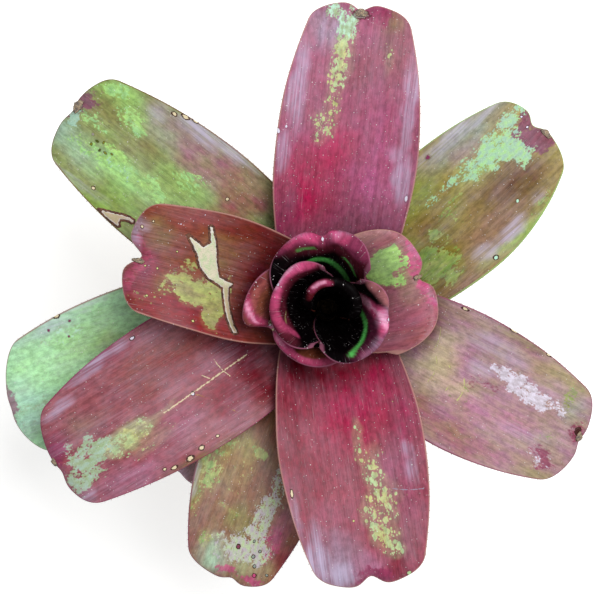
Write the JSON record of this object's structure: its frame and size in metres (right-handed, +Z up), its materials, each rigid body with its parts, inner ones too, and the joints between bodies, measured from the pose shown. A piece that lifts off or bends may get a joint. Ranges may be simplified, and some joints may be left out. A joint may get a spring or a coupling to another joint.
{
  "type": "potted bromeliad plant",
  "caption": "Potted rosette plant with broad arching strap leaves round a closed leaf cup, in a plain round clay pot.",
  "frame": {"origin": "centre of the pot's flat foot, on the surface that the pot stands on", "axes": "+Z up through the middle of the leaf cup, +X towards the short right leaf, +Y towards the top leaf"},
  "size_m": [0.3997, 0.3931, 0.2427],
  "materials": {
    "clay": "matte",
    "potting_mix": "matte",
    "stem": "matte",
    "leaf_red": "satin",
    "leaf_green": "satin",
    "leaf_cup": "satin"
  },
  "bodies": {
    "root": {"pot": "clay", "soil": "potting_mix", "stem": "stem", "heart_leaf_inner": "leaf_cup", "heart_leaf_outer": "leaf_cup", "cup_leaf_inner": "leaf_cup", "cup_leaf_right": "leaf_cup", "cup_leaf_left": "leaf_cup", "cup_leaf_top": "leaf_cup", "cup_leaf_lower_left": "leaf_cup", "short_leaf_right": "leaf_red", "short_leaf_left": "leaf_red", "leaf_bottom": "leaf_red", "leaf_top": "leaf_red", "leaf_lower_left": "leaf_red", "leaf_lower_right": "leaf_red", "leaf_upper_left": "leaf_green", "leaf_bottom_left": "leaf_green", "leaf_upper_right": "leaf_green", "leaf_far_left": "leaf_green", "leaf_under_left": "leaf_red"}
  },
  "joints": []
}
